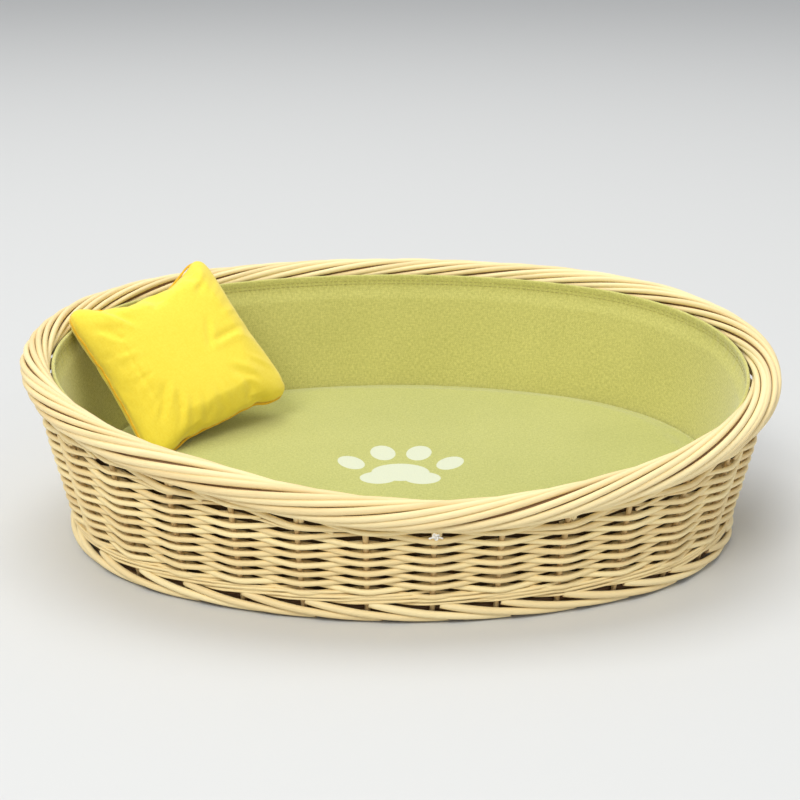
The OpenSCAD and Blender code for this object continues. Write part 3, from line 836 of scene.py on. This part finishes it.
liner_quads = swept_quads(PLACES, section_out.shape[1])
girth = 4 * QUARTER_LEN
along_section = np.concatenate([[0], np.cumsum(np.linalg.norm(np.diff(liner_points[0], axis=0), axis=-1))])
along_section = np.append(along_section, along_section[-1] + LINER_T)
u0 = np.broadcast_to(liner_share * girth, liner_quads.shape[:2])
v0 = np.broadcast_to(along_section[None, :-1], liner_quads.shape[:2])
v1 = np.broadcast_to(along_section[None, 1:], liner_quads.shape[:2])
du = girth / PLACES
liner_uv = np.stack([u0, v0, u0 + du, v0, u0 + du, v1, u0, v1], -1).reshape(-1, 2)
liner = mesh_piece("liner", liner_points.reshape(-1, 3), liner_quads.reshape(-1, 4), uv=liner_uv)
dress(liner, liner_cloth, "basket", "liner_fabric", "liner_wall", "liner_wadding")
# The back faces take the dark brown painted shade.
liner.data.materials.append(painted_shade_backing_cloth)
is_back = np.zeros(liner_quads.shape[:2], np.int32)
is_back[:, rise.shape[1] + 6 :] = 1
liner.data.polygons.foreach_set("material_index", is_back.ravel())
print("liner height", round(float(np.ptp(liner_points[..., 2])), 4))

# %% Hem stitches
STITCH, STITCH_GAP, THREAD_R = 0.0034, 0.0016, 0.00032
stitch_count = int(girth / (STITCH + STITCH_GAP))
STITCH_ROWS = (HEM, HEM - 0.0035)
hem_rows = np.array(STITCH_ROWS)[:, None, None]
stitch_run = np.linspace(0, 1, 5) * STITCH / (STITCH + STITCH_GAP)
stitch_share = (np.arange(stitch_count)[:, None] + stitch_run) / stitch_count
stitch_share = np.broadcast_to(stitch_share, (2, *stitch_share.shape))
stitch_edge = border_z(stitch_share) + LINER_RISE - 0.0022
stitch_z = stitch_edge - hem_rows
row_index = [int(np.argmin(np.abs(under_edge[0] - row))) for row in STITCH_ROWS]
place_of = liner_share[:, 0]
stitch_out = np.stack(
    [np.interp(share, place_of, front_out[:, row], period=1) for share, row in zip(stitch_share, row_index)]
)
bow = np.sin(np.linspace(0, math.pi, 5))
stitch_x, stitch_y = oval(stitch_share, stitch_out - 0.0004 * bow + 0.0001)
stitch_paths = np.stack([stitch_x, stitch_y, stitch_z], -1).reshape(-1, 5, 3)
stitch_side = outward(stitch_share).reshape(-1, 5, 3)
stitches = rod_piece("hem_stitches", stitch_paths, THREAD_R, stitch_side, 4)
thread_cloth = finish_of("olive thread", cloth, {"Light": (0.50, 0.45, 0.14, 1), "Deep": (0.34, 0.30, 0.08, 1)},
                         0.2, 0.0002, 0.2, 0.2, map_place)
dress(stitches, thread_cloth, "basket", "liner_fabric", cut=thread_cloth)
print("stitches", 2 * stitch_count)

# %% [markdown]
# ## Padded pieces by cloth simulation
# A filled cover takes its shape from the filling that pushes it out while the seams hold it back. Blender's
# cloth does this: a closed shape a little smaller than the real one is remeshed into even squares, a
# pressure inside swells it for twenty frames with gravity off, and no point is allowed to move further than
# a cap. The result is kept as plain vertices, so nothing is left to simulate later.

# %% Cloth simulation
SWELL_FRAMES = 20


def puffed(piece, voxel, pressure, cap, spare=0.0, level=1.0):
    """Swells a closed piece: remesh into voxels, push out by the pressure, limit each move to the cap. Gives
    the even points and their moves. level is the share of a sideways move that is kept."""
    remesh = piece.modifiers.new("even", "REMESH")
    remesh.mode = "VOXEL"
    remesh.voxel_size = voxel
    view = bpy.context.evaluated_depsgraph_get()
    even = bpy.data.meshes.new_from_object(piece.evaluated_get(view))
    piece.modifiers.clear()
    piece.data = even
    count = len(even.vertices)
    start = np.empty(count * 3, np.float32)
    even.vertices.foreach_get("co", start)
    move = np.zeros((count, 3), np.float32)
    cloth_mod = piece.modifiers.new("swell", "CLOTH")
    cloth_mod.settings.quality = 6
    cloth_mod.settings.mass = 0.25
    cloth_mod.settings.tension_stiffness = 18
    cloth_mod.settings.compression_stiffness = 12
    cloth_mod.settings.shear_stiffness = 6
    cloth_mod.settings.bending_stiffness = 0.3
    cloth_mod.settings.use_pressure = True
    cloth_mod.settings.uniform_pressure_force = pressure
    cloth_mod.settings.shrink_min = -spare
    cloth_mod.settings.effector_weights.gravity = 0
    cloth_mod.point_cache.frame_end = SWELL_FRAMES
    for frame_number in range(1, SWELL_FRAMES + 1):
        scene.frame_set(frame_number)
    view = bpy.context.evaluated_depsgraph_get()
    swollen = bpy.data.meshes.new_from_object(piece.evaluated_get(view))
    end = np.empty(count * 3, np.float32)
    swollen.vertices.foreach_get("co", end)
    move = (end - start).reshape(-1, 3)
    move *= np.array([level, level, 1.0])
    size = np.linalg.norm(move, axis=1, keepdims=True)
    move *= np.minimum(1, cap / np.maximum(size, 1e-9))
    piece.modifiers.clear()
    scene.frame_set(1)
    return start.reshape(-1, 3).astype(np.float64), move.astype(np.float64)


def finish_pad(piece, points):
    """Writes the points back and adds one smoothing subdivision."""
    piece.data.vertices.foreach_set("co", np.ascontiguousarray(points, np.float32).ravel())
    piece.data.polygons.foreach_set("use_smooth", np.ones(len(piece.data.polygons), bool))
    piece.data.update()
    smooth = piece.modifiers.new("smooth", "SUBSURF")
    smooth.levels = 1
    smooth.render_levels = 1


# %% [markdown]
# ## The cushion
# The cushion is a flat oval pad that lies on the base and just fills the liner. Its top panel is nearly
# flat with a soft edge, where a seam joins it to the side. The start shape is an oval stack of rings that
# step in towards the top and the bottom, closed in the middle.

# %% Cushion
cushion_low, cushion_high = (np.array(corner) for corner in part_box("cushion_cover"))
CUSHION_OUT = (cushion_high - cushion_low)[0] / 2 - HALF_L
CUSHION_H = (cushion_high - cushion_low)[2]
SPREAD = 0.0098
side_t = np.linspace(-1, 1, 15)
ring_in = np.concatenate([np.linspace(0.180, 0.012, 22), [0.006, 0.003, 0.001]])


def pad_ring(out, z):
    """One oval ring of the pad at a height."""
    ring_share = np.arange(256) / 256
    x, y = oval(ring_share, out)
    return np.stack([x, y, np.full_like(x, z)], -1)


def oval_out(x, y):
    """How far a point lies out from the wall line: its distance from its arc's centre less the radius."""
    across, deep = np.abs(x - MIDDLE[0]), np.abs(y - MIDDLE[1])
    on_side = np.arctan2(deep + SIDE_Y, across) > END_TURN
    past_side = np.hypot(across, deep + SIDE_Y) - SIDE_R
    past_end = np.hypot(across - END_X, deep) - END_R
    return np.where(on_side, past_side, past_end)


mid_z = (cushion_low[2] + cushion_high[2]) / 2
half_h = CUSHION_H / 2
soft = 0.0045 * np.exp(-ring_in / 0.0035)
levels = [(CUSHION_OUT - inset, -half_h + 0.0012 + drop) for inset, drop in zip(ring_in, soft)]
levels += [(CUSHION_OUT + SPREAD * (t + 1) / 2 + 0.0006 * (1 - t * t), half_h * t * 0.86) for t in side_t]
levels += [
    (CUSHION_OUT + SPREAD - inset, half_h - 0.0012 - drop) for inset, drop in zip(ring_in[::-1], soft[::-1])
]
rings = np.stack([pad_ring(out, mid_z + z) for out, z in levels])
pad_index = np.arange(rings.shape[0] * 256).reshape(rings.shape[0], 256)
pad_ahead = np.roll(pad_index, -1, 1)
pad_quads = np.stack([pad_index[:-1], pad_ahead[:-1], pad_ahead[1:], pad_index[1:]], -1).reshape(-1, 4)
pad_caps = np.stack([pad_index[0, ::-1], pad_index[-1]])
cushion = mesh_piece("cushion", rings.reshape(-1, 3), pad_quads, pad_caps)
cushion_points, cushion_move = puffed(cushion, 0.005, 1.6, 0.0060)
inset = CUSHION_OUT + SPREAD - oval_out(cushion_points[:, 0], cushion_points[:, 1])
cushion_points += cushion_move * eased((inset - 0.004) / 0.045)[:, None]
ripple = sum(
    np.sin(cushion_points @ (rng.normal(0, 1, 3) * pace_of) + rng.random() * TAU)
    for pace_of in (25.0, 38.0, 52.0, 31.0)
)
on_top = np.clip((cushion_points[:, 2] - mid_z) / half_h, 0, 1) ** 2
cushion_points[:, 2] += 0.00040 * ripple * on_top * eased(inset / 0.02)
cushion_points[:, 2] = np.clip(cushion_points[:, 2], cushion_low[2] + 0.0002, cushion_high[2] + 0.003)
finish_pad(cushion, cushion_points)
print("cushion vertices", len(cushion_points), "top", round(float(cushion_points[:, 2].max()), 4))

# %% Cushion welt
# The welt runs along the cushion's own upper edge, which is found where the swollen points stand furthest up
# and out.
WELT_R = 0.0011
WELT_STEPS = 360
WELT_SINK = 0.0006
welt_share = (np.arange(WELT_STEPS) / WELT_STEPS)[None]
edge_points = cushion_points[(inset < 0.025) & (cushion_points[:, 2] > mid_z)]
edge_out = oval_out(edge_points[:, 0], edge_points[:, 1])
edge_angle = np.arctan2(edge_points[:, 1] - MIDDLE[1], edge_points[:, 0] - MIDDLE[0])
rim_x, rim_y = oval(welt_share[0], CUSHION_OUT + SPREAD)
rim_angle = np.arctan2(rim_y - MIDDLE[1], rim_x - MIDDLE[0])
angle_gap = np.abs(np.angle(np.exp(1j * (edge_angle[None] - rim_angle[:, None]))))
EDGE_WINDOW = 0.03
corner = np.where(angle_gap < EDGE_WINDOW, edge_out + edge_points[:, 2], -np.inf).argmax(1)
soften = np.ones(9) / 9
rim_out, rim_z = (
    np.convolve(np.concatenate([value[-4:], value, value[:4]]), soften, "valid")
    for value in (edge_out[corner], edge_points[corner, 2])
)
welt_x, welt_y = oval(welt_share, rim_out[None] - WELT_SINK)
welt_z = rim_z[None] - WELT_SINK + 0.0003 * np.sin(TAU * 61 * welt_share)
welt = rod_piece(
    "cushion_welt", np.stack([welt_x, welt_y, welt_z], -1), WELT_R, outward(welt_share), 8, closed=True
)

# %% The paw print as a mask
# A plain print, the same on both sides: four narrow toes that fan out, and a pad of three overlapping
# ellipses. Each row holds an ellipse's middle, its two radii and its turn. A value over 0 is inside the
# print.
paw, paw_in, paw_out = group_of("Paw print", [("Place", VECTOR, None)], [("Mask", NUMBER)])
paw_place = paw_in.outputs["Place"]
paw_xy = add(paw.nodes, "ShaderNodeSeparateXYZ")
paw.links.new(paw_place, paw_xy.inputs[0])
PAW = (0.0, -0.052)
PRINT = (
    (0.0, -0.016, 0.027, 0.022, 0),
    (-0.020, -0.030, 0.017, 0.015, 0),
    (0.020, -0.030, 0.017, 0.015, 0),
    (-0.046, 0.008, 0.0115, 0.0185, 26),
    (-0.017, 0.034, 0.0120, 0.0200, 8),
    (0.017, 0.034, 0.0120, 0.0200, -8),
    (0.046, 0.008, 0.0115, 0.0185, -26),
)
px = maths(paw, "SUBTRACT", paw_xy.outputs["X"], PAW[0])
py = maths(paw, "SUBTRACT", paw_xy.outputs["Y"], PAW[1])


def inside_ellipse(x0, y0, across, along, turn_deg):
    """1 less the squared length of the place over the ellipse's radii, after a turn about its middle."""
    c, s = math.cos(math.radians(turn_deg)), math.sin(math.radians(turn_deg))
    ex = maths(paw, "SUBTRACT", px, x0)
    ey = maths(paw, "SUBTRACT", py, y0)
    tx = maths(paw, "MULTIPLY_ADD", ex, c / across, maths(paw, "MULTIPLY", ey, s / across))
    ty = maths(paw, "MULTIPLY_ADD", ey, c / along, maths(paw, "MULTIPLY", ex, -s / along))
    square = maths(paw, "ADD", maths(paw, "MULTIPLY", tx, tx), maths(paw, "MULTIPLY", ty, ty))
    return maths(paw, "SUBTRACT", 1.0, square)


both = inside_ellipse(*PRINT[0])
for shape in PRINT[1:]:
    both = maths(paw, "MAXIMUM", both, inside_ellipse(*shape))
edge_noise = maths(paw, "MULTIPLY_ADD", noise(paw, paw_place, 700.0, 2.0, 0.6), 0.10, -0.05)
on_print = maths(paw, "MULTIPLY", maths(paw, "ADD", both, edge_noise), 14.0, clamp=True)
high_up = maths(paw, "GREATER_THAN", paw_xy.outputs["Z"], mid_z)
paw.links.new(maths(paw, "MULTIPLY", on_print, high_up), paw_out.inputs["Mask"])

# %% Cushion finish
cushion_cloth = finish_of(
    "cushion cloth",
    cloth,
    {"Light": (0.53, 0.53, 0.160, 1), "Deep": (0.37, 0.385, 0.09, 1), "Thread": 0.0011, "Fleck": 0.7},
    0.5, 0.0004, 0.35, 0.15, own_place,
)
tree = cushion_cloth.node_tree
shader = tree.nodes["Principled BSDF"]
cloth_block = next(node for node in tree.nodes if node.type == "GROUP")
paw_block = add(tree.nodes, "ShaderNodeGroup", node_tree=paw)
tree.links.new(own_place(tree), paw_block.inputs["Place"])
print_fade = maths(tree, "MULTIPLY", paw_block.outputs["Mask"], 0.93)
printed = mixed(tree, print_fade, cloth_block.outputs["Color"], (0.67, 0.71, 0.55, 1))
tree.links.new(printed, shader.inputs["Base Color"])
dress(cushion, cushion_cloth, "cushion", "cushion_fabric", "cushion_cover", "cushion_filling")
dress(welt, cushion_cloth, "cushion", "cushion_fabric")

# %% [markdown]
# ## The pillow
# The pillow is two squares of yellow cotton sewn round the edge and stuffed hard, so its sides pull in and
# its corners stand out as round ears. It is built lying flat round its own middle, swollen by the cloth
# simulation, and only then tilted and moved to its place against the wall.

# %% Pillow
pillow_low, pillow_high = (np.array(corner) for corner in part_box("pillow_cover"))
PILLOW_W = 0.157
PILLOW_T = 0.056
PILLOW_PULL = 0.010
PILLOW_TURN, PILLOW_TILT, PILLOW_SPIN = (math.radians(angle) for angle in (-54, 50, 13))
grid = np.sin(np.linspace(-math.pi / 2, math.pi / 2, 49))
u, v = np.meshgrid(grid, grid, indexing="ij")
half = PILLOW_W / 2 + 0.009
corner_cut = 0.0085 * (np.abs(u) * np.abs(v)) ** 9
pull_u = np.where(u < 0, PILLOW_PULL + 0.007, PILLOW_PULL - 0.005)
pull_v = PILLOW_PULL - 0.006
flat_x = u * (half - pull_u * (1 - v * v)) - np.sign(u) * corner_cut
flat_y = v * (half - pull_v * (1 - u * u)) - np.sign(v) * corner_cut
full = ((1 - np.abs(u) ** 3.4) * (1 - np.abs(v) ** 3.4)) ** 0.42
thickness = (PILLOW_T / 2 - 0.010) * full
rim = 0.0026
top = np.stack([flat_x, flat_y, thickness + rim], -1)
under = np.stack([flat_x, flat_y, -thickness - rim], -1)
n = len(grid)
index = np.arange(n * n).reshape(n, n)
face = np.stack([index[:-1, :-1], index[1:, :-1], index[1:, 1:], index[:-1, 1:]], -1).reshape(-1, 4)
border = np.concatenate([index[:-1, 0], index[-1, :-1], index[:0:-1, -1], index[0, :0:-1]])
border_next = np.roll(border, -1)
skirt = np.stack([border + n * n, border_next + n * n, border_next, border], -1)
pillow_quads = np.concatenate([face, face[:, ::-1] + n * n, skirt])
pillow = mesh_piece("pillow", np.concatenate([top.reshape(-1, 3), under.reshape(-1, 3)]), pillow_quads)
pillow_points, pillow_move = puffed(pillow, 0.0036, 4.5, 0.010, spare=0.03, level=0.55)
pillow_points += pillow_move


def crease(points, start, end, depth, width):
    """Presses a soft groove into the upper face along a line: depth times a bell across it and along it."""
    start, end = np.array(start), np.array(end)
    line = end - start
    length = np.linalg.norm(line)
    offset = points[:, :2] - start
    along = (offset @ line) / length**2
    across = (offset[:, 0] * line[1] - offset[:, 1] * line[0]) / length
    bell = np.exp(-((across / width) ** 2)) * np.exp(-(((along - 0.5) / 0.42) ** 4))
    ridge = np.exp(-(((across - 1.7 * width) / width) ** 2)) * np.exp(-(((along - 0.5) / 0.42) ** 4))
    up = np.clip(points[:, 2] / 0.01, 0, 1)
    points[:, 2] -= up * depth * (bell - 0.6 * ridge)


# Each crease's start, its end, its depth and its width, on the pillow as it lies flat.
CREASES = (
    ((0.010, 0.020), (0.006, 0.072), 0.0034, 0.0030),
    ((0.016, 0.016), (-0.016, 0.034), 0.0022, 0.0028),
    ((0.058, -0.066), (0.026, -0.044), 0.0034, 0.0032),
    ((0.070, -0.050), (0.040, -0.038), 0.0026, 0.0028),
    ((0.062, 0.050), (0.040, 0.024), 0.0026, 0.0035),
    ((-0.066, -0.056), (-0.036, -0.036), 0.0030, 0.0034),
    ((-0.050, -0.070), (-0.026, -0.054), 0.0028, 0.0028),
    ((-0.058, 0.066), (-0.040, 0.036), 0.0024, 0.0030),
    ((-0.064, -0.061), (0.056, -0.061), 0.0016, 0.0018),
)
for one_crease in CREASES:
    crease(pillow_points, *one_crease)
pillow_angle = np.arctan2(pillow_points[:, 1], pillow_points[:, 0])
edge_ripple = sum(np.sin(pillow_angle * count + rng.random() * TAU) for count in (23, 37, 53))
reach = np.maximum(np.abs(pillow_points[:, 0]), np.abs(pillow_points[:, 1])) / (PILLOW_W / 2)
near_edge = np.exp(-(((reach - 0.80) / 0.14) ** 2))
pillow_points[:, 2] *= 1 + 0.020 * edge_ripple * near_edge
seam_pinch = np.exp(-((pillow_points[:, 2] / 0.0020) ** 2))
pillow_points[:, :2] *= (1 - 0.012 * seam_pinch)[:, None]
pillow_turn = Euler((0, PILLOW_TILT, PILLOW_TURN), "XYZ").to_matrix() @ Matrix.Rotation(PILLOW_SPIN, 3, "Z")
pillow_middle = (pillow_low + pillow_high) / 2


def pillow_place(points):
    """Turns points of the flat pillow to its resting tilt and moves them to its middle."""
    return points @ np.array(pillow_turn).T + pillow_middle


# %% Pillow seam
# The seam's cord follows the mean of the points that stand furthest out in each direction.
angle = np.arctan2(pillow_points[:, 1], pillow_points[:, 0])
distance = np.hypot(pillow_points[:, 0], pillow_points[:, 1])
near_seam = np.abs(pillow_points[:, 2]) < 0.0045
SEAM_STEPS = 288
seam_angle = np.arange(SEAM_STEPS) * TAU / SEAM_STEPS
gap_to = np.abs(np.angle(np.exp(1j * (angle[near_seam][None] - seam_angle[:, None]))))
reach_at = np.where(gap_to < EDGE_WINDOW, distance[near_seam][None], 0).max(1)
outermost = (gap_to < EDGE_WINDOW) & (distance[near_seam][None] > 0.975 * reach_at[:, None])
seam_z = (outermost * pillow_points[near_seam, 2][None]).sum(1) / outermost.sum(1)
reach_at = (outermost * distance[near_seam][None]).sum(1) / outermost.sum(1)
kernel = np.array([1, 2, 3, 2, 1]) / 9
for _ in range(2):
    reach_at = np.convolve(np.concatenate([reach_at[-2:], reach_at, reach_at[:2]]), kernel, "valid")
    seam_z = np.convolve(np.concatenate([seam_z[-2:], seam_z, seam_z[:2]]), kernel, "valid")
seam_z += 0.0004 * np.sin(seam_angle * 41) + 0.0004 * np.sin(seam_angle * 27 + 1)
seam = np.stack([reach_at * np.cos(seam_angle), reach_at * np.sin(seam_angle), seam_z], -1)
seam_cord = rod_piece(
    "pillow_seam", pillow_place(seam)[None], 0.0011, np.array(pillow_turn)[:, 2], 8, closed=True
)


def pillow_own(tree):
    """The pillow's own coordinates, turned back to how it lay when it was sewn."""
    mapping = add(tree.nodes, "ShaderNodeMapping", vector_type="TEXTURE")
    mapping.inputs["Location"].default_value = pillow_middle
    mapping.inputs["Rotation"].default_value = pillow_turn.to_euler()
    tree.links.new(own_place(tree), mapping.inputs["Vector"])
    return mapping.outputs["Vector"]


YELLOW = {"Light": (0.96, 0.79, 0.085, 1), "Deep": (0.86, 0.64, 0.035, 1), "Thread": 0.0006, "Fleck": 0.35}
pillow_cotton = finish_of("pillow cotton", cloth, YELLOW, 0.3, 0.0002, 0.25, 0.2, pillow_own)
ORANGE = {"Light": (0.86, 0.52, 0.03, 1), "Deep": (0.66, 0.36, 0.01, 1)}
seam_cotton = finish_of("pillow seam cotton", cloth, ORANGE, 0.3, 0.0002, 0.2, 0.2, pillow_own)
finish_pad(pillow, pillow_place(pillow_points))
dress(pillow, pillow_cotton, "pillow", "pillow_fabric", "pillow_cover", "pillow_filling")
dress(seam_cord, seam_cotton, "pillow", "pillow_fabric")
print("pillow vertices", len(pillow_points), "size", np.round(np.ptp(pillow_points, axis=0), 4))

# %% [markdown]
# ## The ties
# A few short lengths of white cotton cord hold the liner to the border. Each is knotted on the outside,
# just under the roll, so only the knot and its two ends show. The knot is a trefoil, the simplest knot
# there is, whose path is a sum of sines.

# %% Ties
TIES = 4
KNOT_R = 0.003
CORD_R = 0.0007
tie_share = np.arange(TIES) / TIES
tie_out = CAD_SWING + CAD_WEAVER_R + KNOT_R + LINER_GAP
tie_drop = max(math.sqrt((BORDER_R + KNOT_R + 0.0004) ** 2 - tie_out**2), KNOT_R)
tie_places = wall(tie_share, border_z(tie_share) - tie_drop, tie_out + tie_drop * LEAN)
turn = np.linspace(0, TAU, 73)[:-1]
knot = np.stack(
    [np.sin(turn) + 2 * np.sin(2 * turn), np.cos(turn) - 2 * np.cos(2 * turn), -1.2 * np.sin(3 * turn)], -1
)
tie_axes = outward(tie_share)
tie_side = np.cross(np.array([0, 0, 1.0]), tie_axes)
tie_frame = np.stack([tie_side, np.broadcast_to([0, 0, 1.0], tie_axes.shape), tie_axes], 1)
knots = tie_places[:, None] + np.einsum("pk,tkc->tpc", knot * KNOT_R / 3.4, tie_frame)
knot_rods = rod_piece("liner_tie_knots", knots, CORD_R, tie_axes[:, None], 8, closed=True)
tail_run = np.linspace(0, 1, 10)
tail_down = -0.0005 - 0.0012 * tail_run**1.6
tail_out = 0.0008 * (1 - tail_run)
tails = []
for side in (-1, 1):
    fall = np.stack([side * (0.002 + 0.0035 * tail_run), tail_down, tail_out], -1)
    tails.append(tie_places[:, None] + np.einsum("pk,tkc->tpc", fall, tie_frame))
tail_rods = rod_piece("liner_tie_ends", np.concatenate(tails), CORD_R, np.tile(tie_axes, (2, 1))[:, None], 8)
WHITE = {"Light": (0.86, 0.84, 0.78, 1), "Deep": (0.66, 0.63, 0.55, 1), "Thread": 0.0005}
white_cotton = finish_of("white cotton cord", cloth, WHITE, 0.4, 0.0002, 0.2, 0.2, map_place)
dress(knot_rods, white_cotton, "basket", "tie_thread", "liner_ties")
dress(tail_rods, white_cotton, "basket", "tie_thread", cut=white_cotton)
print("ties", TIES)
